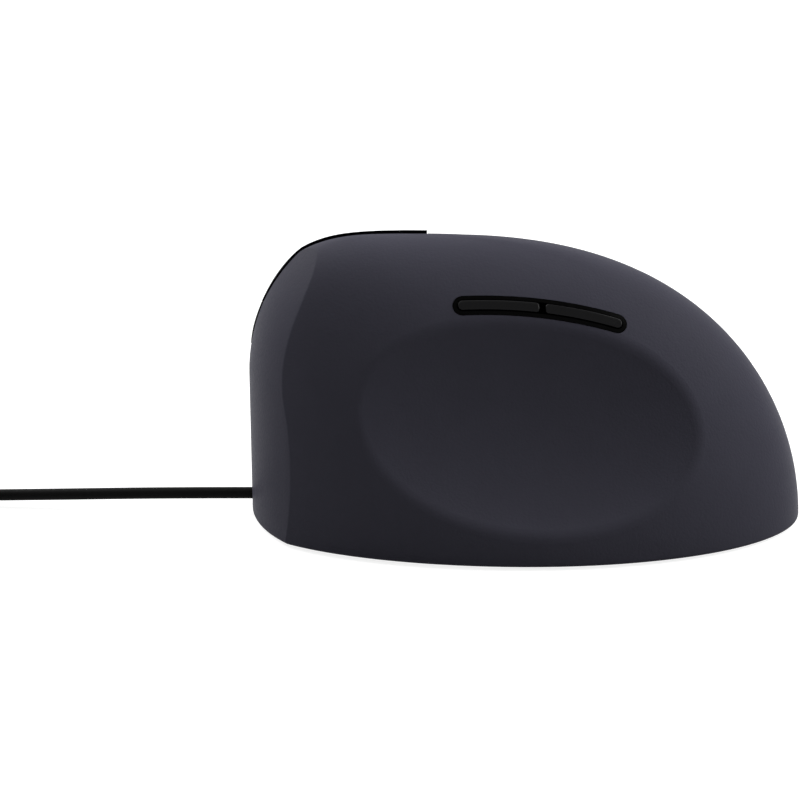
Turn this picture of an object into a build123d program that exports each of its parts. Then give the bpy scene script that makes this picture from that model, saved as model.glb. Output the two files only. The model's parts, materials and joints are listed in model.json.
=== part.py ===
from build123d import *
from math import cos, pi, radians, sin, sqrt, tan
import os

os.makedirs("parts", exist_ok=True)

# Millimetres. +Y points to the front, where the cable leaves, -X is the thumb side,
# +X is the finger side and +Z is up. The mouse stands on its glides at Z = 0.

# Body outside
length = 122.0
width = 73.5
body_height = 66.0
ridge_x = -7.9
ridge_peak_y = 25.1
widest_y = -1.4
nose_over = 3.2
rear_over = 0.35
thumb_power = 1.5
palm_power = 0.8
rear_power = 1.92
rear_round = 2.7
nose_power = 3.27
drift_power = 1.6
face_radius = 46.5
face_x = 6.2
face_lean_z = 32.6
face_lean_radius = 47.0
edge_fillet = 1.0

# Thumb dish
dish_y = 3.5
dish_z = 29.5
dish_depth = 8.8
dish_radius = 46.0
dish_barrel = 282.0
dish_pitch = 0.5
dish_yaw = 5.0
dish_lean = 12.9
dish_fillet = 4.0

# Walls and gaps
wall = 2.3
seam_gap = 0.3
button_gap = 0.35
click_gap = 0.9
fit_gap = 0.1
switch_gap = 0.3
inner_clearance = 1.0
panel_proud = 0.7
panel_nose_proud = 0.25
seam_low_x = 14.4
seam_top_x = -7.0

# Base
glide_thickness = 0.6
glide_recess = 0.3
base_thickness = 2.2
board_thickness = 1.6
main_board_standoff = 3.0
base_top = glide_thickness + base_thickness

# Finger panel, measured on the plane that touches the body at the wheel
wheel_y = 38.5
wheel_z = 46.5
button_rear = -13.1
strip_half = 5.1
strip_rear = -26.5
button_low = -27.5
panel_corner = 1.4

# Scroll wheel
wheel_radius = 11.3
wheel_proud = 2.6
wheel_width = 6.4
tyre_thickness = 2.35
groove_count = 36
chopper_slots = 16
axle_radius = 1.5
running_gap = 0.05
pivot_u = -14.0
pivot_radius = 1.0
arm_inner = 4.3
arm_thickness = 1.8
finger_board_depth = 14.2

# Small keys
dpi_u = -21.0
side_y = -3.5
side_z = 54.3
bezel_width = 4.2
bezel_rim = 0.8
side_key_gap = 0.25
bezel_depth = 3.3
side_board_depth = 11.5
key_proud = 0.5
micro_length, micro_width, micro_height = 12.8, 5.8, 6.5
tact_size, tact_height = 6.0, 3.5
plunger_height = 0.8

# Cable
cable_diameter = 2.6
cable_x = 3.0
cable_z = 4.5
grommet_radius = 2.5
coil_pitch = 3.05
coil_layers = 4
coil_outer = 20.0
coil_half_turns = 6
coil_step = 0.45
tie_thickness = 0.8
tie_width = 4.0
tie_clearance = 0.35


def section(share, inset):
    """Centre and the four half widths of the body's outline at a share of its height."""
    half = width / 2 - inset
    left = half * sqrt(1 - share**thumb_power)
    right = half * sqrt(1 - share**palm_power)
    centre_x = ridge_x * share
    centre_y = widest_y + (ridge_peak_y - widest_y) * share**drift_power
    tail = ridge_peak_y + length / 2 + rear_over - inset
    rear_y = ridge_peak_y - tail * (1 - share**rear_power) ** (1 / rear_round)
    reach = length / 2 + nose_over - ridge_peak_y - inset
    nose_y = ridge_peak_y + reach * (1 - share**nose_power) ** (1 / nose_power)
    return centre_x, centre_y, left, right, nose_y - centre_y, centre_y - rear_y


def outline(share, inset, count=16):
    centre_x, centre_y, left, right, nose, rear = section(share, inset)
    points = []
    for i in range(count):
        turn = 2 * pi * (i + 0.5) / count
        across = (right if cos(turn) > 0 else left) * cos(turn)
        along = (nose if sin(turn) > 0 else rear) * sin(turn)
        points.append((centre_x + across, centre_y + along))
    return points


def side_x(y, z, side):
    """X of the undished body surface on the thumb side (-1) or the palm side (+1)."""
    centre_x, centre_y, left, right, nose, rear = section((z - glide_thickness) / body_height, 0)
    across = sqrt(1 - ((y - centre_y) / (nose if y > centre_y else rear)) ** 2)
    return centre_x + (right if side > 0 else -left) * across


def touching_plane(y, z, side):
    """Plane that touches the body there: local Y runs up the slope and local Z points out."""
    here = Vector(side_x(y, z, side), y, z)
    ahead = Vector(side_x(y + 1, z, side), y + 1, z) - Vector(side_x(y - 1, z, side), y - 1, z)
    above = Vector(side_x(y, z + 1, side), y, z + 1) - Vector(side_x(y, z - 1, side), y, z - 1)
    return Plane(origin=here, x_dir=ahead * side, z_dir=ahead.cross(above) * side)


def d_outline(radius, face_y, back_y):
    half = radius * 0.97
    corner_y = face_y - radius + sqrt(radius**2 - half**2)
    with BuildLine() as line:
        front = ThreePointArc((face_x - half, corner_y), (face_x, face_y), (face_x + half, corner_y))
        Polyline(front @ 1, (face_x + half, back_y), (face_x - half, back_y), front @ 0)
    return line.edges()


def front_block(inset):
    """Everything behind the front face, which stands straight and then leans back."""
    face_y = length / 2 - inset
    radius = face_radius - inset
    lean_y = length / 2 - face_lean_radius
    with BuildPart() as block:
        with BuildSketch(Plane.XY.offset(-wall)):
            make_face(d_outline(radius, face_y, -length))
        extrude(amount=face_lean_z + wall)
        with BuildSketch(Plane.XY.offset(face_lean_z)):
            make_face(d_outline(radius, face_y, lean_y))
        revolve(axis=Axis((0, lean_y, face_lean_z), (1, 0, 0)), revolution_arc=90)
        with BuildSketch(Plane.XY.offset(face_lean_z)):
            with Locations((face_x, lean_y)):
                Rectangle(radius * 1.94, length, align=(Align.CENTER, Align.MAX))
        extrude(amount=body_height)
    return block.part


def body_form(inset, stations=12):
    top = body_height - inset
    with BuildPart() as form:
        for i in range(stations):
            share = sin(pi / 2 * i / stations)
            with BuildSketch(Plane.XY.offset(glide_thickness + top * share)):
                with BuildLine():
                    Spline(outline(share, inset), periodic=True)
                make_face()
        loft([*form.pending_faces, Vertex(ridge_x, ridge_peak_y, glide_thickness + top)])
        add(front_block(inset), mode=Mode.INTERSECT)
    return form.part


dish_axis = Vector(0, 1, 0).rotate(Axis.X, dish_pitch).rotate(Axis.Z, dish_yaw)
dish_out = Vector(-1, 0, 0).rotate(Axis.Y, dish_lean)
dish_out = (dish_out - dish_axis * dish_out.dot(dish_axis)).normalized()
dish_bottom = Vector(side_x(dish_y, dish_z, -1) + dish_depth, dish_y, dish_z)
dish_centre = dish_bottom + dish_out * dish_radius


def dish_barrel_tool(inset):
    """A barrel that lies along the thumb, drawn on its far side so that its seam cuts nothing."""
    radius = dish_radius + inset
    half = dish_radius
    sag = half**2 / (2 * dish_barrel)
    with BuildPart() as barrel:
        with BuildSketch(Plane(origin=dish_centre, x_dir=dish_axis, z_dir=dish_axis.cross(dish_out))):
            with BuildLine():
                arc = ThreePointArc((-half, radius - sag), (0, radius), (half, radius - sag))
                Polyline(arc @ 1, (half, 0), (-half, 0), arc @ 0)
            make_face()
        revolve(axis=Axis(dish_centre, dish_axis))
    return barrel.part


def outer_edges(form):
    """The crease round the front face, without the level lines on it, and the bottom edge."""
    crease = [e for e in form.edges() if e.center().Y > ridge_peak_y and e.bounding_box().size.Z > 1]
    return crease + list(form.faces().sort_by(Axis.Z)[0].edges())


def hollow_form(inset):
    """The inside of the shell, run down through the floor so that it opens the bottom."""
    with BuildPart() as hollow:
        add(body_form(inset))
        extrude(hollow.faces().sort_by(Axis.Z)[0], amount=wall)
        add(dish_barrel_tool(inset), mode=Mode.SUBTRACT)
    return hollow.part


with BuildPart() as body:
    add(body_form(0))
    add(dish_barrel_tool(0), mode=Mode.SUBTRACT)
    dish_face = body.faces().sort_by(lambda face: (face.center() - dish_bottom).length)[0]
    fillet(dish_face.edges(), dish_fillet)
    fillet(outer_edges(body), edge_fillet)

body_inside = hollow_form(wall)
middle_form = hollow_form(wall / 2)
clear_form = hollow_form(wall + inner_clearance)

# The finger panel stands proud of the body, but less so in front of the nose.
with BuildPart() as panel_outside:
    add(body_form(-panel_proud))
    add(front_block(-panel_nose_proud), mode=Mode.INTERSECT)
    fillet(outer_edges(panel_outside), edge_fillet)

# The seam between the thumb shell and the palm side runs along the ridge and down the nose.
seam_up = Vector(seam_top_x - seam_low_x, 0, body_height)
seam = Plane(origin=(seam_low_x, 0, glide_thickness), x_dir=(0, 1, 0), z_dir=Vector(0, 1, 0).cross(seam_up))
palm = touching_plane(wheel_y, wheel_z, 1)


def palm_region(low, high, rear, corner):
    """A prism square to the panel, from its rear edge to past the nose, between two heights."""
    with BuildPart() as region:
        with BuildSketch(palm):
            with Locations((rear, low)):
                RectangleRounded(length, high - low, corner, align=(Align.MIN, Align.MIN))
        extrude(amount=body_height, both=True)
    return region.part


def palm_block(u, v, size_u, size_v, deep, shallow):
    """A block on the panel's plane between two depths below the body surface."""
    with BuildPart() as block:
        with BuildSketch(palm.offset(-deep)):
            with Locations((u, v)):
                Rectangle(size_u, size_v)
        extrude(amount=deep - shallow)
    return block.part


def palm_post(u, v, radius, deep, shallow):
    with BuildPart() as post:
        with BuildSketch(palm.offset(-deep)):
            with Locations((u, v)):
                Circle(radius)
        extrude(amount=deep - shallow)
    return post.part


def inside_wall(column):
    """A column trimmed so that it ends halfway through the wall that carries it."""
    with BuildPart() as trimmed:
        add(column)
        add(middle_form, mode=Mode.INTERSECT)
    return trimmed.part


ridge_reach = body_height
panel_zone = palm_region(button_low - button_gap, ridge_reach, button_rear - button_gap, panel_corner)
strip_zone = palm_region(-strip_half - fit_gap, strip_half + fit_gap, strip_rear - fit_gap, strip_half)

# Case screws
boss_radius = 3.0
boss_hole = 1.05
screw_radius = 1.0
screw_head_radius = 1.9
screw_head_height = 1.2
counterbore_depth = 1.5
boss_height = 20.0
boss_hole_height = 8.0
thumb_boss_inset = 4.5
palm_boss_inset = 10.0


def base_point(angle, inset):
    """A point on the base at an angle from +X, an inset inside the body's outline."""
    centre_x, centre_y, left, right, nose, rear = section(0, inset)
    turn = radians(angle)
    along = nose if sin(turn) > 0 else rear
    return centre_x + right * cos(turn), centre_y + along * sin(turn)


thumb_bosses = [base_point(140, thumb_boss_inset), base_point(220, thumb_boss_inset)]
palm_bosses = [base_point(20, palm_boss_inset), base_point(-20, palm_boss_inset)]


def boss_columns(points):
    with BuildPart() as columns:
        with BuildSketch(Plane.XY.offset(base_top)):
            with Locations(points):
                Circle(boss_radius)
        extrude(amount=boss_height)
    return columns.part


def boss_holes(points):
    with BuildPart() as holes:
        with BuildSketch(Plane.XY.offset(base_top)):
            with Locations(points):
                Circle(boss_hole)
        extrude(amount=boss_hole_height)
    return holes.part


# Small screws that hold the boards
small_screw_radius = 0.8
small_head_radius = 1.6
small_head_height = 0.9
small_screw_bite = 2.4

# The plane of the two side keys: local X runs to the rear and local Y up the thumb side.
thumb = touching_plane(side_y, side_z, -1)
key_arc_rear = (16.35, -3.83)
key_arc_front = (-16.35, 1.73)
key_split = 0.4
key_split_gap = 1.3
side_posts = [(-14.5, -4.0), (14.5, 2.8)]
side_post_radius = 1.6


def key_slot(height, deep, shallow):
    """The curved slot of the side keys as a solid between two depths under the thumb side."""
    with BuildPart() as slot:
        with BuildSketch(thumb.offset(-deep)):
            with BuildLine(mode=Mode.PRIVATE) as middle:
                ThreePointArc(key_arc_front, (0, 0), key_arc_rear)
            SlotArc(middle.edge(), height)
        extrude(amount=deep - shallow)
    return slot.part


def side_post(place):
    """A post that carries the side board, ended inside the thumb wall."""
    with BuildPart() as post:
        with BuildSketch(thumb.offset(-side_board_depth)):
            with Locations(place):
                Circle(side_post_radius)
        extrude(amount=side_board_depth)
    return inside_wall(post.part)


slot_hole = key_slot(bezel_width + 2 * fit_gap, bezel_depth + wall, -wall)

with BuildPart() as thumb_shell:
    add(body.part)
    add(body_inside, mode=Mode.SUBTRACT)
    split(bisect_by=seam, keep=Keep.BOTTOM)
    add(inside_wall(boss_columns(thumb_bosses)))
    add(boss_holes(thumb_bosses), mode=Mode.SUBTRACT)
    for place in side_posts:
        add(side_post(place))
    with BuildSketch(thumb.offset(-side_board_depth)):
        with Locations(side_posts):
            Circle(small_screw_radius + running_gap)
    extrude(amount=small_screw_bite, mode=Mode.SUBTRACT)
    add(slot_hole, mode=Mode.SUBTRACT)
    with BuildSketch(Plane.XZ.offset(-length / 2 + 2 * wall)):
        with Locations((cable_x, cable_z)):
            Circle(grommet_radius)
    extrude(amount=-3 * wall, mode=Mode.SUBTRACT)
thumb_shell.part.label = "thumb_shell"
export_step(thumb_shell.part, "parts/thumb_shell.step")

with BuildPart() as palm_shell:
    add(body.part)
    add(body_inside, mode=Mode.SUBTRACT)
    split(bisect_by=seam.offset(seam_gap), keep=Keep.TOP)
    add(inside_wall(boss_columns(palm_bosses)))
    add(boss_holes(palm_bosses), mode=Mode.SUBTRACT)
    add(panel_zone, mode=Mode.SUBTRACT)
    add(strip_zone, mode=Mode.SUBTRACT)
palm_shell.part.label = "palm_shell"
export_step(palm_shell.part, "parts/palm_shell.step")

with BuildPart() as panel_skin:
    add(panel_outside.part)
    add(body_inside, mode=Mode.SUBTRACT)
    split(bisect_by=seam.offset(seam_gap), keep=Keep.TOP)

left_zone = palm_region(strip_half + button_gap, ridge_reach, button_rear, panel_corner - button_gap)
right_zone = palm_region(button_low, -strip_half - button_gap, button_rear, panel_corner - button_gap)
strip_outline = palm_region(-strip_half, strip_half, strip_rear, strip_half - fit_gap)

# The switches stand on the finger board, and each button reaches down to one of them.
left_micro = (1.0, 15.5)
right_micro = (1.0, -16.0)
micro_plunger_u = 2.5
post_radius = 1.6
micro_top = finger_board_depth - micro_height
button_post_depth = micro_top - plunger_height - switch_gap


def finger_button(zone, micro):
    with BuildPart() as button:
        add(panel_skin.part)
        add(zone, mode=Mode.INTERSECT)
        split(bisect_by=seam.offset(click_gap), keep=Keep.TOP)
        column = palm_post(micro[0] + micro_plunger_u, micro[1], post_radius, button_post_depth, 0)
        add(inside_wall(column))
    return button.part


left_button = finger_button(left_zone, left_micro)
left_button.label = "left_button"
export_step(left_button, "parts/left_button.step")

right_button = finger_button(right_zone, right_micro)
right_button.label = "right_button"
export_step(right_button, "parts/right_button.step")

# The glossy strip between the buttons, with the wheel's slot and the resolution key's hole
slot_half_width = wheel_width / 2 + 0.8
slot_half_length = wheel_radius - 0.7
dpi_length, dpi_width = 7.4, 4.0
strip_post_front = 13.0
strip_post_rear = -24.6
strip_post_radius = 1.2
with BuildPart() as centre_strip:
    add(panel_skin.part)
    add(strip_outline, mode=Mode.INTERSECT)
    for post_u in (strip_post_front, strip_post_rear):
        add(inside_wall(palm_post(post_u, 0, strip_post_radius, finger_board_depth, 0)))
    with BuildSketch(palm.offset(-body_height / 4)):
        RectangleRounded(2 * slot_half_length, 2 * slot_half_width, slot_half_width / 2)
        with Locations((dpi_u, 0)):
            SlotOverall(dpi_length + 2 * button_gap, dpi_width + 2 * button_gap)
    extrude(amount=body_height, mode=Mode.SUBTRACT)
centre_strip.part.label = "centre_strip"
export_step(centre_strip.part, "parts/centre_strip.step")

# Scroll wheel: its axle runs up the slope
wheel_depth = wheel_radius - wheel_proud
wheel_centre = palm.origin - palm.z_dir * wheel_depth
wheel_plane = Plane(origin=wheel_centre, x_dir=palm.x_dir, z_dir=palm.y_dir)
hub_radius = wheel_radius - tyre_thickness
hub_boss_radius = 3.2
hub_boss_half = 4.0
hub_rim = 1.3
web_thickness = 1.2
slot_radius = 5.6
with BuildPart() as wheel_hub:
    with BuildSketch(wheel_plane):
        Circle(hub_radius)
    extrude(amount=wheel_width / 2, both=True)
    for side in (1, -1):
        with BuildSketch(wheel_plane.offset(side * web_thickness / 2)):
            Circle(hub_radius - hub_rim)
        extrude(amount=side * wheel_width, mode=Mode.SUBTRACT)
    with BuildSketch(wheel_plane):
        with PolarLocations(slot_radius, chopper_slots):
            SlotOverall(2.6, 1.1)
    extrude(amount=web_thickness, both=True, mode=Mode.SUBTRACT)
    with BuildSketch(wheel_plane):
        Circle(hub_boss_radius)
    extrude(amount=hub_boss_half, both=True)
    with BuildSketch(wheel_plane):
        Circle(axle_radius + fit_gap / 4)
    extrude(amount=wheel_width, both=True, mode=Mode.SUBTRACT)
wheel_hub.part.label = "wheel_hub"
export_step(wheel_hub.part, "parts/wheel_hub.step")

groove_radius = 0.35
with BuildPart() as wheel_tyre:
    with BuildSketch(wheel_plane):
        Circle(wheel_radius)
        Circle(hub_radius + fit_gap / 4, mode=Mode.SUBTRACT)
    extrude(amount=wheel_width / 2, both=True)
    fillet(wheel_tyre.faces().sort_by(lambda face: -face.area)[0].edges().filter_by(GeomType.CIRCLE), 0.9)
    with BuildSketch(wheel_plane):
        with PolarLocations(wheel_radius + groove_radius / 4, groove_count):
            Circle(groove_radius)
    extrude(amount=wheel_width, both=True, mode=Mode.SUBTRACT)
wheel_tyre.part.label = "wheel_tyre"
export_step(wheel_tyre.part, "parts/wheel_tyre.step")

arm_outer = arm_inner + arm_thickness
with BuildPart() as wheel_axle:
    with BuildSketch(wheel_plane):
        Circle(axle_radius)
    extrude(amount=arm_outer + seam_gap, both=True)
wheel_axle.part.label = "wheel_axle"
export_step(wheel_axle.part, "parts/wheel_axle.step")

# The carrier holds the wheel's axle, turns on two pins and presses the middle switch.
arm_half_height = 2.2
arm_front = axle_radius + 1.4
arm_rear = pivot_u - 1.6
bar_front = pivot_u + 1.4
pin_reach = 1.8
ear_gap = 0.25
ear_thickness = 1.6
middle_tact = (-4.5, -10.0)
lug_thickness = 1.8
lug_half = 1.6
lug_bottom = finger_board_depth - tact_height - plunger_height - switch_gap
with BuildPart() as wheel_carrier:
    for side in (1, -1):
        centre_v = side * (arm_inner + arm_thickness / 2)
        centre_u = (arm_front + arm_rear) / 2
        add(palm_block(centre_u, centre_v, arm_front - arm_rear, arm_thickness,
                       wheel_depth + arm_half_height, wheel_depth - arm_half_height))
    add(palm_block((arm_rear + bar_front) / 2, 0, bar_front - arm_rear, 2 * arm_inner,
                   wheel_depth + arm_half_height, wheel_depth - arm_half_height))
    lug_outer = -middle_tact[1] + 1
    add(palm_block(middle_tact[0], -(arm_outer + lug_outer) / 2, 2 * lug_half, lug_outer - arm_outer + 0.4,
                   lug_bottom, lug_bottom - lug_thickness))
    with BuildSketch(wheel_plane):
        with Locations((pivot_u, 0)):
            Circle(pivot_radius)
    extrude(amount=arm_outer + pin_reach, both=True)
    with BuildSketch(wheel_plane):
        Circle(axle_radius + running_gap)
    extrude(amount=arm_outer, both=True, mode=Mode.SUBTRACT)
wheel_carrier.part.label = "wheel_carrier"
export_step(wheel_carrier.part, "parts/wheel_carrier.step")

ear_half_length = 2.0
ear_outer = arm_outer + ear_gap + ear_thickness
bar_height = 1.3
with BuildPart() as wheel_bracket:
    for side in (1, -1):
        centre_v = side * (ear_outer - ear_thickness / 2)
        add(palm_block(pivot_u, centre_v, 2 * ear_half_length, ear_thickness,
                       finger_board_depth, wheel_depth - pivot_radius - 1))
    add(palm_block(pivot_u, 0, 2 * ear_half_length, 2 * ear_outer,
                   finger_board_depth, finger_board_depth - bar_height))
    with BuildSketch(wheel_plane):
        with Locations((pivot_u, 0)):
            Circle(pivot_radius + running_gap)
    extrude(amount=2 * ear_outer, both=True, mode=Mode.SUBTRACT)
wheel_bracket.part.label = "wheel_bracket"
export_step(wheel_bracket.part, "parts/wheel_bracket.step")

# The light pair reads the hub's slots.
sensor_u = 6.2
sensor_v = 9.7
sensor_size_u, sensor_size_v = 4.0, 2.2
lens_radius = 0.9
lens_height = 0.6


def light_part(side):
    top = wheel_depth - 2.6
    with BuildPart() as part:
        add(palm_block(sensor_u, side * sensor_v, sensor_size_u, sensor_size_v, finger_board_depth, top))
        with BuildSketch(wheel_plane.offset(side * (sensor_v - sensor_size_v / 2))):
            with Locations((sensor_u, 0)):
                Circle(lens_radius)
        extrude(amount=-side * lens_height)
    return part.part


ir_emitter = light_part(1)
ir_emitter.label = "ir_emitter"
export_step(ir_emitter, "parts/ir_emitter.step")

ir_detector = light_part(-1)
ir_detector.label = "ir_detector"
export_step(ir_detector, "parts/ir_detector.step")

# Finger board, with a slot for the wheel
board_rear_u, board_front_u = -27.0, 15.5
board_low_v, board_high_v = -24.0, 20.0
board_slot_half_width = wheel_width / 2 + 0.9
chord = sqrt(wheel_radius**2 - (finger_board_depth - wheel_depth) ** 2)
board_screws = [(-23.5, -8.0), (-23.5, 8.0)]
screw_hole = 1.1
with BuildPart() as finger_board:
    with BuildSketch(palm.offset(-finger_board_depth)):
        with Locations(((board_rear_u + board_front_u) / 2, (board_low_v + board_high_v) / 2)):
            RectangleRounded(board_front_u - board_rear_u, board_high_v - board_low_v, 1.5)
        RectangleRounded(2 * (chord + 1), 2 * board_slot_half_width, 1, mode=Mode.SUBTRACT)
        with Locations(board_screws):
            Circle(screw_hole, mode=Mode.SUBTRACT)
    extrude(amount=-board_thickness)
    add(clear_form, mode=Mode.INTERSECT)
finger_board.part.label = "finger_board"
export_step(finger_board.part, "parts/finger_board.step")

# Switches and their plungers


def switch_body(plane, place, size, height, plunger_radius):
    with BuildPart() as switch:
        with BuildSketch(plane):
            with Locations(place):
                RectangleRounded(size[0], size[1], 0.4)
        extrude(amount=height)
        with BuildSketch(plane.offset(height)):
            with Locations((place[0] + size[2], place[1])):
                Circle(plunger_radius + running_gap)
        extrude(amount=-plunger_height * 2.5, mode=Mode.SUBTRACT)
    return switch.part


def switch_plunger(plane, place, size, height, plunger_radius):
    with BuildPart() as plunger:
        with BuildSketch(plane.offset(height - plunger_height)):
            with Locations((place[0] + size[2], place[1])):
                Circle(plunger_radius)
        extrude(amount=2 * plunger_height)
        rims = plunger.edges().filter_by(GeomType.CIRCLE)
        chamfer(rims.sort_by(lambda rim: (rim.center() - plane.origin).dot(plane.z_dir))[-1], 0.15)
    return plunger.part


board_top = palm.offset(-finger_board_depth)
side_board_top = thumb.offset(-side_board_depth)
micro_size = (micro_length, micro_width, micro_plunger_u)
tact = (tact_size, tact_size, 0)
side_tact_height = tact_height
forward_tact = (-9.5, 0.9)
back_tact = (9.5, -1.4)
dpi_tact_height = 5.0
switches = {
    "left": (board_top, left_micro, micro_size, micro_height, 0.9),
    "right": (board_top, right_micro, micro_size, micro_height, 0.9),
    "middle": (board_top, middle_tact, tact, tact_height, 1.5),
    "dpi": (board_top, (dpi_u, 0), tact, dpi_tact_height, 1.5),
    "forward": (side_board_top, forward_tact, tact, side_tact_height, 1.5),
    "back": (side_board_top, back_tact, tact, side_tact_height, 1.5),
}
for name, sizes in switches.items():
    body_part = switch_body(*sizes)
    body_part.label = name + "_switch"
    export_step(body_part, "parts/" + name + "_switch.step")
    plunger_part = switch_plunger(*sizes)
    plunger_part.label = name + "_plunger"
    export_step(plunger_part, "parts/" + name + "_plunger.step")

# Resolution key in the strip
dpi_stem_depth = finger_board_depth - dpi_tact_height - plunger_height - switch_gap
with BuildPart() as key_outside:
    add(body_form(-panel_proud - key_proud))
with BuildPart() as dpi_button:
    with BuildSketch(palm.offset(-dpi_stem_depth)):
        with Locations((dpi_u, 0)):
            SlotOverall(dpi_length, dpi_width)
    extrude(amount=body_height / 2)
    add(key_outside, mode=Mode.INTERSECT)
dpi_button.part.label = "dpi_button"
export_step(dpi_button.part, "parts/dpi_button.step")

# Side keys in their bezel
with BuildPart() as bezel_outside:
    add(body_form(-fit_gap))
with BuildPart() as side_bezel:
    add(key_slot(bezel_width, bezel_depth, -wall))
    add(bezel_outside, mode=Mode.INTERSECT)
    add(key_slot(bezel_width - 2 * bezel_rim, bezel_depth + wall, -wall), mode=Mode.SUBTRACT)
side_bezel.part.label = "side_bezel"
export_step(side_bezel.part, "parts/side_bezel.step")

with BuildPart() as side_key_outside:
    add(body_form(-key_proud))
key_width = bezel_width - 2 * bezel_rim - 2 * side_key_gap
key_corner = 0.7
key_edge = 0.25
flange_top = bezel_depth + seam_gap
flange_thickness = 1.4
key_stem_depth = side_board_depth - side_tact_height - plunger_height - switch_gap
key_stem_radius = 1.3
key_rear_half = (key_split + key_split_gap / 2, length / 2)
key_front_half = (-length / 2, key_split - key_split_gap / 2)


def side_key(span, place):
    middle = (span[0] + span[1]) / 2
    reach = span[1] - span[0]
    with BuildPart() as flange:
        add(key_slot(bezel_width - bezel_rim, flange_top + flange_thickness, flange_top))
        with BuildSketch(thumb.offset(-flange_top)):
            with Locations((middle, 0)):
                Rectangle(reach, length)
        extrude(amount=-flange_thickness, mode=Mode.INTERSECT)
    with BuildPart() as key:
        add(key_slot(key_width, flange_top, -wall))
        add(side_key_outside, mode=Mode.INTERSECT)
        with BuildSketch(thumb.offset(-flange_top)):
            with Locations((middle, 0)):
                Rectangle(reach, length)
        extrude(amount=body_height, mode=Mode.INTERSECT)
        upright = key.edges().filter_by(Axis(thumb.origin, thumb.z_dir))
        split_ends = upright.sort_by(lambda edge: abs(thumb.to_local_coords(edge.center()).X - key_split))
        fillet(split_ends[:2], key_corner)
        outer = key.faces().sort_by(lambda face: thumb.to_local_coords(face.center()).Z)[-1]
        fillet(outer.edges(), key_edge)
        add(flange.part)
        with BuildSketch(thumb.offset(-key_stem_depth)):
            with Locations(place):
                Circle(key_stem_radius)
        extrude(amount=key_stem_depth - flange_top - flange_thickness / 2)
    return key.part


forward_button = side_key(key_front_half, forward_tact)
forward_button.label = "forward_button"
export_step(forward_button, "parts/forward_button.step")

back_button = side_key(key_rear_half, back_tact)
back_button.label = "back_button"
export_step(back_button, "parts/back_button.step")

side_board_half_length = 17.6
side_board_low, side_board_high = -7.0, 6.0
with BuildPart() as side_board:
    with BuildSketch(side_board_top):
        with Locations((0, (side_board_low + side_board_high) / 2)):
            RectangleRounded(2 * side_board_half_length, side_board_high - side_board_low, 1)
        with Locations(side_posts):
            Circle(screw_hole, mode=Mode.SUBTRACT)
    extrude(amount=-board_thickness)
side_board.part.label = "side_board"
export_step(side_board.part, "parts/side_board.step")

# Inner frame: two ribs carry the sloping finger board, two rails tie them together.
rib_thickness = 2.0
front_rib_y, rear_rib_y = 48.0, 14.0
rib_left_x, rib_right_x = -15.0, 12.0
rear_rib_right_x = 6.0
rail_height = 14.0
foot_thickness = 2.0
foot_width = 6.0
tunnel_left, tunnel_right, tunnel_top = -1.0, 7.0, 13.0
frame_screws = [(-11.0, 24.0), (-11.0, 40.0)]
rear_rib_shoulder_z = 38.0
rear_rib_shoulder_x = -9.5
board_underside = palm.offset(-finger_board_depth - board_thickness)
with BuildPart() as inner_frame:
    with BuildSketch(Plane.XY.offset(base_top)):
        with Locations((rib_left_x, front_rib_y)):
            Rectangle(rib_right_x - rib_left_x, rib_thickness, align=(Align.MIN, Align.CENTER))
        with Locations((rib_left_x, rear_rib_y)):
            Rectangle(rear_rib_right_x - rib_left_x, rib_thickness, align=(Align.MIN, Align.CENTER))
    extrude(amount=body_height)
    split(bisect_by=board_underside, keep=Keep.BOTTOM)
    with BuildSketch(Plane.XY.offset(rear_rib_shoulder_z)):
        with Locations((rear_rib_shoulder_x, rear_rib_y)):
            Rectangle(length, 2 * rib_thickness, align=(Align.MAX, Align.CENTER))
    extrude(amount=body_height, mode=Mode.SUBTRACT)
    with BuildSketch(Plane.XY.offset(base_top)):
        with Locations((rib_left_x, (front_rib_y + rear_rib_y) / 2)):
            Rectangle(foot_width, front_rib_y - rear_rib_y, align=(Align.MIN, Align.CENTER))
    extrude(amount=foot_thickness)
    with BuildSketch(Plane.XY.offset(base_top)):
        with Locations((rib_left_x, (front_rib_y + rear_rib_y) / 2)):
            Rectangle(rib_thickness, front_rib_y - rear_rib_y, align=(Align.MIN, Align.CENTER))
    extrude(amount=rail_height)
    add(clear_form, mode=Mode.INTERSECT)
    with BuildSketch(Plane.XY.offset(base_top)):
        with Locations((tunnel_left, rear_rib_y - rib_thickness)):
            Rectangle(tunnel_right - tunnel_left, length, align=(Align.MIN, Align.MIN))
        with Locations(frame_screws):
            Circle(screw_hole)
    extrude(amount=tunnel_top - base_top, mode=Mode.SUBTRACT)
    for place in board_screws:
        with BuildSketch(board_underside):
            with Locations(place):
                Circle(small_screw_radius + running_gap)
        extrude(amount=-small_screw_bite, mode=Mode.SUBTRACT)
inner_frame.part.label = "inner_frame"
export_step(inner_frame.part, "parts/inner_frame.step")

# Base plate with its glides, screw holes, board bosses and the sensor's window
case_points = thumb_bosses + palm_bosses
board_bosses = [(-15.0, -36.0), (15.0, -36.0), (-15.0, 5.0), (15.0, 5.0)]
board_boss_radius = 2.5
sensor_y = -6.0
window_length, window_width = 12.0, 8.0
window_rim = 1.6
front_glide = (0.0, 45.0)
rear_glide = (0.0, -48.0)
glide_length, glide_width = 30.0, 7.0
main_board_z = base_top + main_board_standoff


def glide(place, grow, bottom, top):
    with BuildPart() as pad:
        with BuildSketch(Plane.XY.offset(bottom)):
            with Locations(place):
                SlotOverall(glide_length + 2 * grow, glide_width + 2 * grow)
        extrude(amount=top - bottom)
    return pad.part


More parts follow.
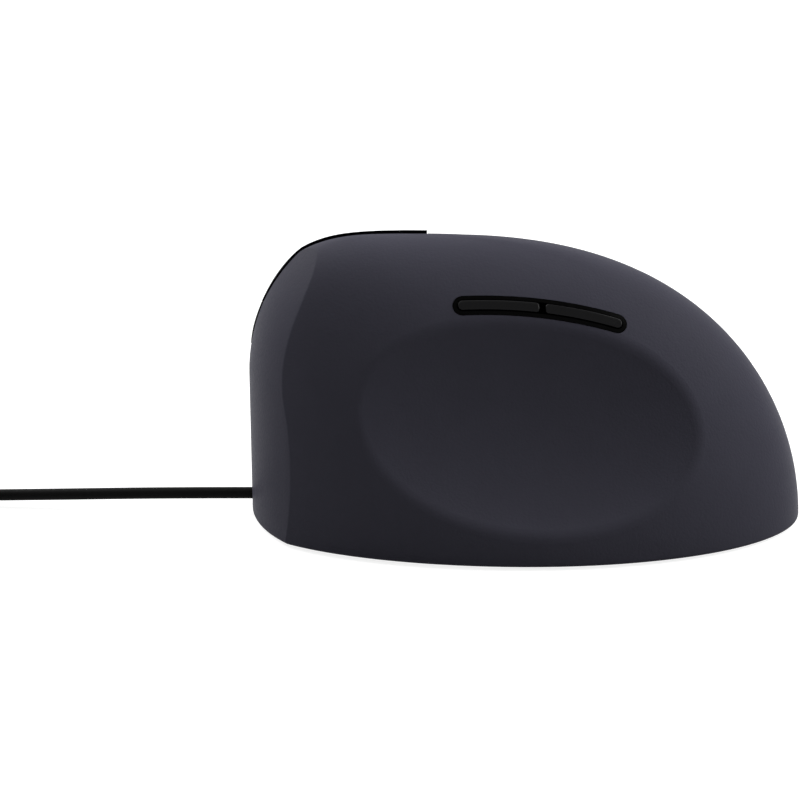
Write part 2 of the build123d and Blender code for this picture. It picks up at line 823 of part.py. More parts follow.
with BuildPart() as base_plate:
    add(body_form(wall + seam_gap))
    add(dish_barrel_tool(wall + seam_gap), mode=Mode.SUBTRACT)
    split(bisect_by=Plane.XY.offset(base_top), keep=Keep.BOTTOM)
    with BuildSketch(Plane.XY.offset(base_top)):
        with Locations(board_bosses):
            Circle(board_boss_radius)
    extrude(amount=main_board_standoff)
    for place in (front_glide, rear_glide):
        add(glide(place, fit_gap, 0, glide_thickness + glide_recess), mode=Mode.SUBTRACT)
    with BuildSketch(Plane.XY.offset(glide_thickness)):
        with Locations(case_points):
            Circle(screw_radius + fit_gap)
        with Locations((0, sensor_y)):
            RectangleRounded(window_width, window_length, 2)
    extrude(amount=base_thickness, mode=Mode.SUBTRACT)
    with BuildSketch(Plane.XY.offset(glide_thickness)):
        with Locations(case_points):
            Circle(screw_head_radius + fit_gap)
    extrude(amount=counterbore_depth, mode=Mode.SUBTRACT)
    with BuildSketch(Plane.XY.offset(glide_thickness)):
        with Locations((0, sensor_y)):
            RectangleRounded(window_width + 2 * window_rim, window_length + 2 * window_rim, 3)
    extrude(amount=glide_recess, mode=Mode.SUBTRACT)
    with BuildSketch(Plane.XY.offset(base_top)):
        with Locations(frame_screws):
            Circle(small_screw_radius + running_gap)
    extrude(amount=-base_thickness / 2, mode=Mode.SUBTRACT)
    with BuildSketch(Plane.XY.offset(main_board_z)):
        with Locations(board_bosses[:2]):
            Circle(small_screw_radius + running_gap)
    extrude(amount=-small_screw_bite, mode=Mode.SUBTRACT)
base_plate.part.label = "base_plate"
export_step(base_plate.part, "parts/base_plate.step")

for name, place in (("front_glide", front_glide), ("rear_glide", rear_glide)):
    pad = glide(place, 0, 0, glide_thickness + glide_recess)
    pad.label = name
    export_step(pad, "parts/" + name + ".step")

with BuildPart() as window_frame:
    with BuildSketch(Plane.XY.offset(glide_thickness + glide_recess / 3)):
        with Locations((0, sensor_y)):
            RectangleRounded(window_width + 2 * window_rim - 0.2, window_length + 2 * window_rim - 0.2, 2.9)
            RectangleRounded(window_width - 0.4, window_length - 0.4, 1.8, mode=Mode.SUBTRACT)
    extrude(amount=glide_recess * 2 / 3)
window_frame.part.label = "window_frame"
export_step(window_frame.part, "parts/window_frame.step")

# Main board and what stands on it
main_board_half_width = 20.0
main_board_rear, main_board_front = -44.0, 10.0
with BuildPart() as main_board:
    with BuildSketch(Plane.XY.offset(main_board_z)):
        with Locations((0, (main_board_rear + main_board_front) / 2)):
            RectangleRounded(2 * main_board_half_width, main_board_front - main_board_rear, 3)
        with Locations((0, sensor_y)):
            RectangleRounded(6, 8, 1, mode=Mode.SUBTRACT)
        with Locations(board_bosses[:2]):
            Circle(screw_hole, mode=Mode.SUBTRACT)
    extrude(amount=board_thickness)
main_board.part.label = "main_board"
export_step(main_board.part, "parts/main_board.step")
board_face = Plane.XY.offset(main_board_z + board_thickness)

with BuildPart() as sensor_lens:
    with BuildSketch(Plane.XY.offset(base_top)):
        with Locations((0, sensor_y)):
            RectangleRounded(window_width + 6, window_length + 4, 2)
    extrude(amount=main_board_standoff)
    with BuildSketch(Plane.XY.offset(base_top)):
        with Locations((0, sensor_y)):
            RectangleRounded(window_width - 1.2, window_length - 1.2, 1.4)
    extrude(amount=-base_thickness * 0.6)
    with BuildSketch(Plane.XY.offset(main_board_z)):
        with Locations((0, sensor_y)):
            Circle(2.2)
    extrude(amount=board_thickness * 0.6)
sensor_lens.part.label = "sensor_lens"
export_step(sensor_lens.part, "parts/sensor_lens.step")

lead_header_y = 6.0
lead_end_z = main_board_z + board_thickness + 2.6
blocks = {
    "optical_sensor": ((0, sensor_y), (9.9, 12.4, 3.2), 0.5),
    "sensor_led": ((-6, sensor_y + 10), (4.4, 4.4, 4.0), 0.6),
    "controller_chip": ((0, -26), (10.0, 10.0, 1.5), 0.3),
    "timing_crystal": ((12, -24), (4.5, 11.0, 3.6), 2.0),
    "lead_header": ((cable_x, lead_header_y), (8.0, 5.0, 5.4), 0.4),
    "finger_header": ((10.5, -2), (8.0, 4.0, 4.0), 0.4),
    "side_header": ((-14, -14), (8.0, 4.0, 4.0), 0.4),
}
for name, (place, size, corner) in blocks.items():
    with BuildPart() as block:
        with BuildSketch(board_face):
            with Locations(place):
                RectangleRounded(size[0], size[1], corner)
        extrude(amount=size[2])
        chamfer(block.faces().sort_by(Axis.Z)[-1].edges(), 0.25)
    block.part.label = name
    export_step(block.part, "parts/" + name + ".step")

capacitor_place = (-12.0, -30.0)
with BuildPart() as capacitor:
    with BuildSketch(board_face):
        with Locations(capacitor_place):
            Circle(2.5)
    extrude(amount=7)
    fillet(capacitor.faces().sort_by(Axis.Z)[-1].edges(), 0.5)
capacitor.part.label = "capacitor"
export_step(capacitor.part, "parts/capacitor.step")

# Flat ribbons from the main board up to the finger board and the side board
ribbon_thickness = 0.6
header_top = main_board_z + board_thickness + 4.0
ribbon_half_width = 2.8
finger_ribbon_y = 12.5
finger_ribbon_x = 10.5
finger_ribbon_z = 16.0
with BuildPart() as finger_ribbon:
    with BuildSketch(Plane.YZ.offset(finger_ribbon_x - ribbon_half_width)):
        with BuildLine():
            ribbon = FilletPolyline(
                (-2, header_top),
                (-2, finger_ribbon_z),
                (finger_ribbon_y, finger_ribbon_z),
                (finger_ribbon_y, body_height),
                radius=1.5,
            )
            offset(ribbon, amount=ribbon_thickness / 2)
        make_face()
    extrude(amount=2 * ribbon_half_width)
    split(bisect_by=board_underside, keep=Keep.BOTTOM)
    split(bisect_by=Plane.XY.offset(header_top), keep=Keep.TOP)
finger_ribbon.part.label = "finger_ribbon"
export_step(finger_ribbon.part, "parts/finger_ribbon.step")

side_board_underside = thumb.offset(-side_board_depth - board_thickness)
with BuildPart() as side_ribbon:
    with BuildSketch(Plane.XY.offset(header_top)):
        with Locations((-13.0, -14.0)):
            Rectangle(4.0, ribbon_thickness)
    extrude(amount=body_height)
    split(bisect_by=side_board_underside, keep=Keep.BOTTOM)
side_ribbon.part.label = "side_ribbon"
export_step(side_ribbon.part, "parts/side_ribbon.step")


def screw(plane, place, head_radius, head_height, shank_radius, shank):
    """A screw whose head stands on the plane's outer side."""
    with BuildPart() as part:
        with BuildSketch(plane):
            with Locations(place):
                Circle(head_radius)
        extrude(amount=head_height)
        with BuildSketch(plane.offset(head_height)):
            with Locations(place):
                Rectangle(head_radius * 1.2, head_radius * 0.3)
                Rectangle(head_radius * 0.3, head_radius * 1.2)
        extrude(amount=-head_height / 2, mode=Mode.SUBTRACT)
        with BuildSketch(plane):
            with Locations(place):
                Circle(shank_radius)
        extrude(amount=-shank)
    return part.part


below = Plane(origin=(0, 0, glide_thickness + counterbore_depth), x_dir=(1, 0, 0), z_dir=(0, 0, -1))
with BuildPart() as case_screws:
    for x, y in case_points:
        add(screw(below, (x, -y), screw_head_radius, screw_head_height, screw_radius,
                  base_thickness - counterbore_depth + boss_hole_height - 0.5))
case_screws.part.label = "case_screws"
export_step(case_screws.part, "parts/case_screws.step")

bite = small_screw_bite - 0.2
side_back = Plane(origin=side_board_underside.origin, x_dir=thumb.x_dir, z_dir=-thumb.z_dir)
with BuildPart() as board_screws_part:
    for place in board_bosses[:2]:
        add(screw(board_face, place, small_head_radius, small_head_height, small_screw_radius,
                  board_thickness + bite))
    for place in board_screws:
        add(screw(board_top, place, small_head_radius, small_head_height, small_screw_radius,
                  board_thickness + bite))
    for place in frame_screws:
        add(screw(Plane.XY.offset(base_top + foot_thickness), place, small_head_radius, small_head_height,
                  small_screw_radius, foot_thickness + base_thickness / 2 - 0.2))
    for u, v in side_posts:
        add(screw(side_back, (u, -v), small_head_radius, small_head_height, small_screw_radius,
                  board_thickness + bite))
board_screws_part.part.label = "board_screws"
export_step(board_screws_part.part, "parts/board_screws.step")

# The cable inside the mouse, its grommet and the lead that leaves the nose
cable_radius = cable_diameter / 2
cable_exit_y = 60.7
grommet_length = 2.2


def corner_radii(points):
    """The arc of each corner takes 0.45 of the shorter run beside it."""
    radii = []
    for before, corner, after in zip(points, points[1:], points[2:]):
        into = Vector(*corner) - Vector(*before)
        out = Vector(*after) - Vector(*corner)
        half_turn = radians(into.get_angle(out)) / 2
        radii.append(0.45 * min(into.length, out.length) / tan(half_turn))
    return radii


def tube(name, route, radius=cable_radius):
    """A round cable along a route of edges, written out with its section checked."""
    with BuildPart() as cable:
        with BuildSketch(Plane(origin=route @ 0, z_dir=route % 0)):
            Circle(radius)
        sweep(path=route)
    cable.part.label = name
    share = cable.part.volume / (pi * radius**2 * route.length)
    print(name, "length", round(route.length, 1), "volume over section times length", round(share, 4))
    export_step(cable.part, "parts/" + name + ".step")


inner_points = [
    (cable_x, cable_exit_y, cable_z),
    (cable_x, 25.0, cable_z),
    (cable_x, 14.5, lead_end_z),
    (cable_x, lead_header_y + 2.5, lead_end_z),
]
with BuildLine() as inner_route:
    FilletPolyline(*inner_points, radius=corner_radii(inner_points))
tube("inner_lead", inner_route.wire())

with BuildPart() as cable_grommet:
    with BuildSketch(Plane(origin=(cable_x, cable_exit_y, cable_z), z_dir=(0, 1, 0))):
        Circle(grommet_radius - running_gap)
        Circle(cable_radius + running_gap, mode=Mode.SUBTRACT)
    extrude(amount=-grommet_length)
    chamfer(cable_grommet.faces().sort_by(Axis.Y)[-1].outer_wire().edges(), 0.3)
cable_grommet.part.label = "cable_grommet"
export_step(cable_grommet.part, "parts/cable_grommet.step")

# The coil starts where the lead ends, heading +Y, and lies on its tie.
coil_x, coil_y = 8.0, 150.0
coil_z = tie_thickness + fit_gap + cable_radius
lead_points = [
    (cable_x, cable_exit_y, cable_z),
    (cable_x, 80.0, cable_z),
    (5.8, 105.0, 3.2),
    (coil_x, 130.0, coil_z),
    (coil_x, coil_y, coil_z),
]
with BuildLine() as lead_route:
    FilletPolyline(*lead_points, radius=corner_radii(lead_points))
tube("cable_lead", lead_route.wire())

coil_radii = [coil_outer - i * coil_pitch / 2 for i in range(coil_half_turns + 1)]
coil_radii[0] += coil_step
coil_radii[-1] -= coil_step
coil_centre_x = coil_x - coil_radii[0]


def coil_point(side, radius, height, across=0.0):
    return (coil_centre_x + side * radius, coil_y + across, height)


def climb(side, radius, height):
    """Half a turn up to the next layer, as two equal arcs."""
    rise = coil_pitch / 2
    across = side * sqrt(radius**2 + rise**2)
    middle = coil_point(0, 0, height + rise, across)
    first = TangentArc(coil_point(side, radius, height), middle, tangent=(0, side, 0))
    TangentArc(middle, coil_point(-side, radius, height + coil_pitch), tangent=first % 1)


with BuildLine() as coil_route:
    side = 1
    for layer in range(coil_layers):
        height = coil_z + layer * coil_pitch
        radii = coil_radii if layer % 2 == 0 else coil_radii[::-1]
        last = layer == coil_layers - 1
        for near, far in list(zip(radii, radii[1:]))[: -1 if last else None]:
            middle = coil_point(side * (near - far) / 2, 1, height, side * (near + far) / 2)
            ThreePointArc(coil_point(side, near, height), middle, coil_point(-side, far, height))
            side = -side
        if not last:
            climb(side, radii[-1], height)
            side = -side
    near, far = radii[-2:]
    bend = (near + far) / 2
    shift = side * (near - far) / 2
    tail_start = coil_point(1, shift, height, side * bend)
    middle = coil_point(1, shift + side * bend * cos(pi / 4), height, side * bend * sin(pi / 4))
    ThreePointArc(coil_point(side, near, height), middle, tail_start)
tube("cable_coil", coil_route.wire())
print("coil turns", coil_layers * coil_half_turns / 2 + (coil_layers - 1) / 2 - 0.25)

# The tail leaves the top of the coil and comes down beside it to the plug.
plug_x, plug_rear_y = -45.0, 150.0
plug_width, plug_height, plug_length = 15.7, 7.8, 20.0
plug_z = plug_height / 2
tail_points = [
    tail_start,
    (-25.0, tail_start[1], tail_start[2]),
    (-38.0, tail_start[1] - 2.0, 7.0),
    (plug_x, plug_rear_y + 11.0, plug_z),
    (plug_x, plug_rear_y, plug_z),
]
with BuildLine() as tail_route:
    FilletPolyline(*tail_points, radius=corner_radii(tail_points))
tube("cable_tail", tail_route.wire())
for name, points in {"inner": inner_points, "lead": lead_points, "tail": tail_points}.items():
    print(name, "corner radii", [round(radius, 1) for radius in corner_radii(points)])

cable_edges = [e for route in (lead_route, coil_route, tail_route) for e in route.wire().order_edges()]
trail = []
travelled = 0.0
here = Vector(*lead_points[0])
for edge in cable_edges:
    backwards = (edge @ 0 - here).length > (edge @ 1 - here).length
    steps = max(2, round(edge.length / 0.8))
    for i in range(steps):
        share = i / steps
        here = edge @ (1 - share if backwards else share)
        trail.append((here.X, here.Y, here.Z, travelled + edge.length * share))
    here = edge @ (0 if backwards else 1)
    travelled += edge.length
least = min(
    (a[0] - b[0]) ** 2 + (a[1] - b[1]) ** 2 + (a[2] - b[2]) ** 2
    for i, a in enumerate(trail)
    for b in trail[:i]
    if a[3] - b[3] > 3 * cable_diameter
)
least_gap = sqrt(least) - cable_diameter
print("cable length outside the mouse", round(travelled, 1), "least gap", round(least_gap, 3))

# A band round all the turns
tie_angle = -45.0
tie_inner = coil_radii[-1] - cable_radius - tie_clearance
tie_outer = coil_radii[0] + cable_radius + tie_clearance
tie_top = coil_z + (coil_layers - 1) * coil_pitch + cable_radius + fit_gap
tie_outward = Vector(1, 0, 0).rotate(Axis.Z, tie_angle)
tie_along = Vector(0, 0, 1).cross(tie_outward)
tie_plane = Plane(origin=(coil_centre_x, coil_y, 0), x_dir=tie_outward, z_dir=tie_along)
with BuildPart() as cable_tie:
    with BuildSketch(tie_plane.offset(-tie_width / 2)):
        with Locations((tie_inner - tie_thickness, -tie_top - tie_thickness)):
            RectangleRounded(tie_outer - tie_inner + 2 * tie_thickness, tie_top + tie_thickness, 1.4,
                             align=(Align.MIN, Align.MIN))
        with Locations((tie_inner, -tie_top)):
            RectangleRounded(tie_outer - tie_inner, tie_top - tie_thickness, 0.6,
                             align=(Align.MIN, Align.MIN), mode=Mode.SUBTRACT)
    extrude(amount=tie_width)
cable_tie.part.label = "cable_tie"
export_step(cable_tie.part, "parts/cable_tie.step")

# Plug: moulded grip, metal shell, tongue and contacts
neck_length = 5.0
neck_radius = 2.8
grip_depth = 0.5
grip_pitch = 1.8
mouth_width, mouth_height, mouth_length, mouth_wall = 12.0, 4.5, 12.0, 0.35
tongue_gap = 0.1
plug_back = Plane(origin=(plug_x, plug_rear_y, plug_z), x_dir=(1, 0, 0), z_dir=(0, -1, 0))
with BuildPart() as usb_overmould:
    with BuildSketch(plug_back.offset(neck_length)):
        RectangleRounded(plug_width, plug_height, 2.4)
    extrude(amount=plug_length)
    fillet(usb_overmould.faces().sort_by(Axis.Y)[-1].edges(), 2.0)
    fillet(usb_overmould.faces().sort_by(Axis.Y)[0].edges(), 0.6)
    with BuildSketch(plug_back):
        Circle(cable_radius + 0.5)
    with BuildSketch(plug_back.offset(neck_length)):
        Circle(neck_radius)
    loft()
    for i in range(4):
        with BuildSketch(plug_back.offset(neck_length + plug_length / 2 + (i - 1.5) * grip_pitch)):
            with Locations((0, plug_z), (0, -plug_z)):
                Rectangle(plug_width * 0.7, 2 * grip_depth)
        extrude(amount=grip_pitch / 4, both=True, mode=Mode.SUBTRACT)
usb_overmould.part.label = "usb_overmould"
export_step(usb_overmould.part, "parts/usb_overmould.step")

mouth = plug_back.offset(neck_length + plug_length)
with BuildPart() as usb_shell:
    with BuildSketch(mouth):
        RectangleRounded(mouth_width, mouth_height, 0.5)
        RectangleRounded(mouth_width - 2 * mouth_wall, mouth_height - 2 * mouth_wall, 0.3,
                         mode=Mode.SUBTRACT)
    extrude(amount=mouth_length)
    with BuildSketch(Plane.XY.offset(plug_height)):
        with Locations((plug_x, plug_rear_y - neck_length - plug_length - mouth_length * 0.45)):
            with GridLocations(5.0, 1, 2, 1):
                Rectangle(2.4, 2.4)
    extrude(amount=-plug_height, mode=Mode.SUBTRACT)
usb_shell.part.label = "usb_shell"
export_step(usb_shell.part, "parts/usb_shell.step")

tongue_height = 1.8
with BuildPart() as usb_tongue:
    with BuildSketch(mouth):
        with Locations((0, tongue_height / 2 + mouth_wall + tongue_gap - mouth_height / 2)):
            Rectangle(mouth_width - 2 * mouth_wall - 4 * tongue_gap, tongue_height)
    extrude(amount=mouth_length - 0.8)
usb_tongue.part.label = "usb_tongue"
export_step(usb_tongue.part, "parts/usb_tongue.step")

# Places that the record's joints use
for name, place in {
    "finger button hinge": palm.from_local_coords((button_rear, 0, -wall / 2)),
    "wheel": wheel_centre,
    "wheel pivot": palm.from_local_coords((pivot_u, 0, -wheel_depth)),
    "middle of the finger panel": palm.origin,
    "middle of the side keys": thumb.origin,
}.items():
    print(name, [round(value, 3) for value in place])
for name, plane in {"finger panel axes": palm, "side key axes": thumb}.items():
    print(name, [round(value, 5) for axis in (plane.x_dir, plane.y_dir, plane.z_dir) for value in axis])
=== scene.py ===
"""Vertical mouse: looks, cable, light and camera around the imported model.

Lengths are in metres, and in millimetres for the cable's route and the grain of the surfaces.
"""

import json
from math import cos, pi, radians, sin

import bpy
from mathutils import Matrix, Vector


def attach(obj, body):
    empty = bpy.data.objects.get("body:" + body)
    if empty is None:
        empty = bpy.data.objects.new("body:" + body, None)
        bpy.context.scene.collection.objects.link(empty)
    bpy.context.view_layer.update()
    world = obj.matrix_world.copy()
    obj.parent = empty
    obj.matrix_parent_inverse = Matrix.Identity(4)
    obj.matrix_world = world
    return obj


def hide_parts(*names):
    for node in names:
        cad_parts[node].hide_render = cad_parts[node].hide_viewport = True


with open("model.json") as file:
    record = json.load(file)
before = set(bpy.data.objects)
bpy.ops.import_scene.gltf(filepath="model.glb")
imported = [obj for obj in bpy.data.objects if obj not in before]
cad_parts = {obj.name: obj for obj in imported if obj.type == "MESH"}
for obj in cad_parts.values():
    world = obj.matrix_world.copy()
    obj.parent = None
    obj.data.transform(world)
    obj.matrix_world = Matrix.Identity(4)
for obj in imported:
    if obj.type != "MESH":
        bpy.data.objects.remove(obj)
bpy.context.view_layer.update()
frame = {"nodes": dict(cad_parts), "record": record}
nodes = frame["nodes"]
mm = 0.001
white = (1, 1, 1, 1)

# Camera: it looks along +X and down, past the mouse's thumb side, so the mouse stands right of centre.
picture_pixels = 800
sensor_width = 36.0
near_clip = 0.01
camera_elevation = radians(16.25)
camera_distance = 0.7
aim = Vector((0, 0, 0.03))
pixels_per_metre = 4524.0
aim_pixel = (523.9, 387.2)

view_direction = Vector((cos(camera_elevation), 0, -sin(camera_elevation)))
camera_data = bpy.data.cameras.new("camera")
camera_data.sensor_width = sensor_width
camera_data.lens = sensor_width * pixels_per_metre * camera_distance / picture_pixels
camera_data.shift_x = (picture_pixels / 2 - aim_pixel[0]) / picture_pixels
camera_data.shift_y = (aim_pixel[1] - picture_pixels / 2) / picture_pixels
camera_data.clip_start = near_clip
camera = bpy.data.objects.new("camera", camera_data)
camera.location = aim - camera_distance * view_direction
camera.rotation_euler = view_direction.to_track_quat("-Z", "Y").to_euler()
bpy.context.collection.objects.link(camera)
bpy.context.scene.camera = camera

# Cable: the points of the CAD routes, in millimetres, with the coil's turns between them
cable_diameter = 2.6
cable_exit = (3.0, 60.7, 4.5)
cable_smoothness = 6
coil_x, coil_y = 8.0, 150.0
coil_z = 2.2
coil_pitch = 3.05
coil_layers = 4
coil_outer = 20.0
coil_half_turns = 6
coil_step = 0.45
last_share = 0.5
points_per_half_turn = 8
lead_points = [cable_exit, (3.0, 80.0, 4.5), (5.8, 105.0, 3.2), (coil_x, 130.0, coil_z)]
tail_start_x = -25.0
tail_drop_x, tail_drop_y, tail_drop_z = -38.0, -2.0, 7.0
tail_run = 11.0
plug_x, plug_rear_y, plug_z = -45.0, 150.0, 3.9

coil_radii = [coil_outer - i * coil_pitch / 2 for i in range(coil_half_turns + 1)]
coil_radii[0] += coil_step
coil_radii[-1] -= coil_step
coil_centre_x = coil_x - coil_radii[0]


def bend_points(side, near, far, height, rise=0.0, share=1.0):
    """Control points of half a turn, or of its first share, each just outside the tube's line."""
    count = round(points_per_half_turn * share)
    step = pi / points_per_half_turn
    radius = (near + far) / 2 / cos(step / 2)
    for k in range(count):
        angle = (k + 0.5) * step
        yield (
            coil_centre_x + side * ((near - far) / 2 + radius * cos(angle)),
            coil_y + side * radius * sin(angle),
            height + rise * (k + 0.5) / points_per_half_turn,
        )


def cable_points():
    """Control points from the nose: the lead, the coil layer by layer, and the tail to the plug."""
    yield from lead_points
    side = 1
    for layer in range(coil_layers):
        height = coil_z + layer * coil_pitch
        radii = coil_radii if layer % 2 == 0 else coil_radii[::-1]
        last = layer == coil_layers - 1
        for half in range(coil_half_turns):
            near, far = radii[half], radii[half + 1]
            share = last_share if last and half == coil_half_turns - 1 else 1.0
            yield from bend_points(side, near, far, height, share=share)
            side = -side
        if not last:
            yield from bend_points(side, radii[-1], radii[-1], height, rise=coil_pitch)
            side = -side
    top_y = coil_y + (near + far) / 2
    yield (tail_start_x, top_y, height)
    yield (tail_drop_x, top_y + tail_drop_y, tail_drop_z)
    yield (plug_x, plug_rear_y + tail_run, plug_z)
    yield (plug_x, plug_rear_y, plug_z)


cable_curve = bpy.data.curves.new("cable", "CURVE")
cable_curve.dimensions = "3D"
cable_curve.bevel_depth = 1.0
cable_curve.bevel_resolution = cable_smoothness
cable_curve.resolution_u = cable_smoothness
cable_curve.use_fill_caps = True
spline = cable_curve.splines.new("NURBS")
route = list(cable_points())
spline.points.add(len(route) - 1)
for point, place in zip(spline.points, route):
    point.co = (place[0] * mm, place[1] * mm, place[2] * mm, 1)
    point.radius = cable_diameter / 2 * mm
spline.order_u = 3
spline.use_endpoint_u = True
cable = bpy.data.objects.new("cable", cable_curve)
bpy.context.collection.objects.link(cable)
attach(cable, "housing")
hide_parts("cable_lead", "cable_coil", "cable_tail")

# Light: soft boxes at the nose end, the tail end, above and behind, and a weak one low before the nose.
# Each has its place, its size and its power in watts.
lamp_aim = Vector((0, 0, 0.03))
lamps = {
    "left_box": ((0.38, 0.6, 0.62), 0.8, 8.2),
    "right_box": ((0.0, -0.75, 0.65), 0.7, 8.3),
    "top_box": ((-0.1, 0.0, 0.95), 0.5, 1.6),
    "back_box": ((0.5, -0.4, 0.72), 0.35, 1.0),
    "front_fill": ((-0.6, 0.7, 0.12), 0.5, 0.55),
}
for name, (place, size, watts) in lamps.items():
    lamp_data = bpy.data.lights.new(name, "AREA")
    lamp_data.shape = "SQUARE"
    lamp_data.size = size
    lamp_data.energy = watts
    lamp = bpy.data.objects.new(name, lamp_data)
    lamp.location = place
    lamp.rotation_euler = (lamp_aim - Vector(place)).to_track_quat("-Z", "Y").to_euler()
    bpy.context.collection.objects.link(lamp)


def link(tree, *pairs):
    """Join each pair of sockets in the node tree."""
    for source, target in pairs:
        tree.links.new(source, target)


def shown_rays(tree):
    """One for the rays that show the background: camera, glossy and transmission."""
    path = tree.nodes.new("ShaderNodeLightPath")
    total = path.outputs["Is Camera Ray"]
    for kind in ("Is Glossy Ray", "Is Transmission Ray"):
        either = tree.nodes.new("ShaderNodeMath")
        either.operation = "MAXIMUM"
        link(tree, (total, either.inputs[0]), (path.outputs[kind], either.inputs[1]))
        total = either.outputs[0]
    return total


# World: the shown rays see it white, and it throws hardly any other light
ambient_strength = 0.01
shown_strength = 1.0
world = bpy.data.worlds.new("studio")
bpy.context.scene.world = world
world.use_nodes = True
tree = world.node_tree
tree.nodes.clear()
shown_ray = shown_rays(tree)
ambient = tree.nodes.new("ShaderNodeBackground")
ambient.inputs["Strength"].default_value = ambient_strength
shown = tree.nodes.new("ShaderNodeBackground")
shown.inputs["Color"].default_value = white
shown.inputs["Strength"].default_value = shown_strength
mix = tree.nodes.new("ShaderNodeMixShader")
output = tree.nodes.new("ShaderNodeOutputWorld")
link(
    tree,
    (shown_ray, mix.inputs["Fac"]),
    (ambient.outputs[0], mix.inputs[1]),
    (shown.outputs[0], mix.inputs[2]),
    (mix.outputs[0], output.inputs["Surface"]),
)

# Floor: pale grey, with a glow for the same rays that makes it show white and keeps the shadow
floor_size = 6.0
floor_cells = 4
floor_colour = (0.45, 0.45, 0.45, 1)
floor_roughness = 0.9
floor_glow = 0.85
bpy.ops.mesh.primitive_grid_add(x_subdivisions=floor_cells, y_subdivisions=floor_cells, size=floor_size)
floor = bpy.context.object
floor.name = "floor"
floor_paint = bpy.data.materials.new("floor_paint")
floor_paint.use_nodes = True
tree = floor_paint.node_tree
paint = tree.nodes["Principled BSDF"]
paint.inputs["Base Color"].default_value = floor_colour
paint.inputs["Roughness"].default_value = floor_roughness
paint.inputs["Specular IOR Level"].default_value = 0.0
paint.inputs["Emission Color"].default_value = white
shown_ray = shown_rays(tree)
glow = tree.nodes.new("ShaderNodeMath")
glow.operation = "MULTIPLY"
glow.inputs[1].default_value = floor_glow
link(tree, (shown_ray, glow.inputs[0]), (glow.outputs[0], paint.inputs["Emission Strength"]))
floor.data.materials.append(floor_paint)

# Finishes: the scales of the noises are in cells per metre
drift_scale = 120
drift_detail = 3
grain_detail = 2
grain_low, grain_high = 0.3, 0.7
roughness_swing = 0.06
least_roughness = 0.02
coat_roughness = 0.06


def finish_of(name, colour, roughness, grain_size, grain_depth, specular=0.5, metallic=0.0, tone=0.1,
              coat=0.0, transmission=0.0):
    """Moulded or metal surface: fine grain in bump and roughness, and slow drifts of tone."""
    material = bpy.data.materials.new(name)
    material.use_nodes = True
    tree = material.node_tree
    shader = tree.nodes["Principled BSDF"]
    shader.inputs["Metallic"].default_value = metallic
    shader.inputs["Specular IOR Level"].default_value = specular
    shader.inputs["Coat Weight"].default_value = coat
    shader.inputs["Coat Roughness"].default_value = coat_roughness
    shader.inputs["Transmission Weight"].default_value = transmission
    place = tree.nodes.new("ShaderNodeTexCoord")
    drift = tree.nodes.new("ShaderNodeTexNoise")
    drift.inputs["Scale"].default_value = drift_scale
    drift.inputs["Detail"].default_value = drift_detail
    grain = tree.nodes.new("ShaderNodeTexNoise")
    grain.inputs["Scale"].default_value = 1 / (grain_size * mm)
    grain.inputs["Detail"].default_value = grain_detail
    paint = tree.nodes.new("ShaderNodeMix")
    paint.data_type = "RGBA"
    paint.inputs["A"].default_value = (*[c * (1 - tone) for c in colour], 1)
    paint.inputs["B"].default_value = (*[c * (1 + tone) for c in colour], 1)
    rough = tree.nodes.new("ShaderNodeMapRange")
    rough.inputs["From Min"].default_value = grain_low
    rough.inputs["From Max"].default_value = grain_high
    rough.inputs["To Min"].default_value = max(least_roughness, roughness - roughness_swing)
    rough.inputs["To Max"].default_value = roughness + roughness_swing
    bump = tree.nodes.new("ShaderNodeBump")
    bump.inputs["Strength"].default_value = 1.0
    bump.inputs["Distance"].default_value = grain_depth * mm
    link(
        tree,
        (place.outputs["Object"], drift.inputs["Vector"]),
        (place.outputs["Object"], grain.inputs["Vector"]),
        (drift.outputs["Fac"], paint.inputs["Factor"]),
        (paint.outputs["Result"], shader.inputs["Base Color"]),
        (grain.outputs["Fac"], rough.inputs["Value"]),
        (rough.outputs[0], shader.inputs["Roughness"]),
        (grain.outputs["Fac"], bump.inputs["Height"]),
        (bump.outputs[0], shader.inputs["Normal"]),
    )
    return material


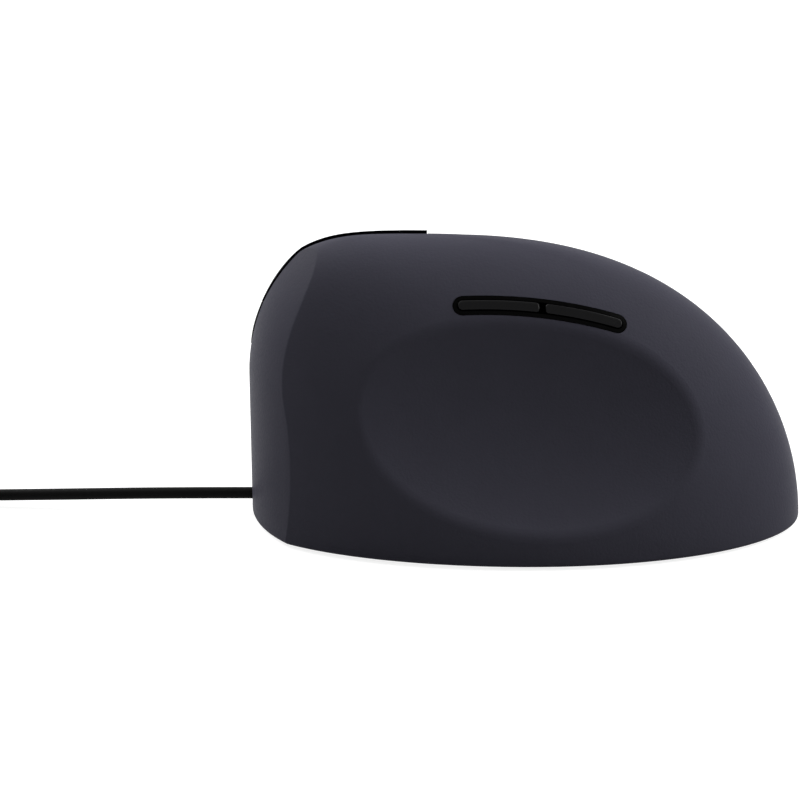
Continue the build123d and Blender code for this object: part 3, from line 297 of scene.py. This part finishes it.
# Each slot has its colour, roughness, grain size and grain depth, and what differs from the usual
finish_table = {
    "soft_touch": ((0.054, 0.053, 0.07), 0.5, 0.6, 0.05, {"specular": 0.02, "tone": 0.05}),
    "gloss_panel": ((0.006, 0.006, 0.008), 0.15, 3, 0.002, {"specular": 0.25, "coat": 0.05}),
    "gloss_keys": ((0.002, 0.002, 0.0025), 0.12, 2, 0.001, {"specular": 0.1}),
    "bezel_gloss": ((0.001, 0.001, 0.001), 0.2, 2, 0.001, {"specular": 0.02}),
    "dark_plastic": ((0.02, 0.02, 0.022), 0.55, 0.5, 0.02, {}),
    "glide_white": ((0.72, 0.72, 0.70), 0.45, 0.6, 0.01, {}),
    "wheel_rubber": ((0.018, 0.018, 0.018), 0.7, 0.3, 0.015, {"specular": 0.3}),
    "wheel_grey": ((0.11, 0.11, 0.12), 0.4, 0.5, 0.008, {}),
    "steel": ((0.55, 0.55, 0.56), 0.28, 0.2, 0.004, {"metallic": 1.0}),
    "board_green": ((0.012, 0.075, 0.03), 0.35, 1.2, 0.02, {"tone": 0.35}),
    "switch_black": ((0.02, 0.02, 0.02), 0.45, 0.3, 0.008, {}),
    "plunger_white": ((0.75, 0.75, 0.72), 0.4, 0.4, 0.004, {}),
    "clear_lens": ((0.85, 0.86, 0.9), 0.06, 2, 0.001, {"transmission": 0.85}),
    "dark_lens": ((0.01, 0.01, 0.014), 0.1, 2, 0.001, {"coat": 0.4}),
    "header_cream": ((0.7, 0.66, 0.55), 0.45, 0.4, 0.006, {}),
    "ribbon_grey": ((0.45, 0.45, 0.48), 0.4, 1.0, 0.02, {"tone": 0.2}),
    "can_blue": ((0.03, 0.04, 0.12), 0.3, 1.0, 0.004, {}),
    "cable_black": ((0.003, 0.003, 0.003), 0.55, 0.6, 0.01, {"specular": 0.05}),
    "tie_black": ((0.008, 0.008, 0.008), 0.6, 0.5, 0.02, {"specular": 0.15}),
    "plug_black": ((0.005, 0.005, 0.005), 0.5, 0.35, 0.015, {"specular": 0.15}),
    "tongue_black": ((0.015, 0.015, 0.015), 0.5, 0.4, 0.004, {}),
}
finishes = {}
for slot, (colour, roughness, grain_size, grain_depth, others) in finish_table.items():
    finishes[slot] = finish_of(slot, colour, roughness, grain_size, grain_depth, **others)
for part in frame["record"]["subparts"]:
    node = nodes[part["node"]]
    node.data.materials.clear()
    node.data.materials.append(finishes[part["material_slot"]])
cable.data.materials.append(finishes["cable_black"])

bpy.context.scene.view_settings.view_transform = "Standard"
bpy.context.view_layer.update()
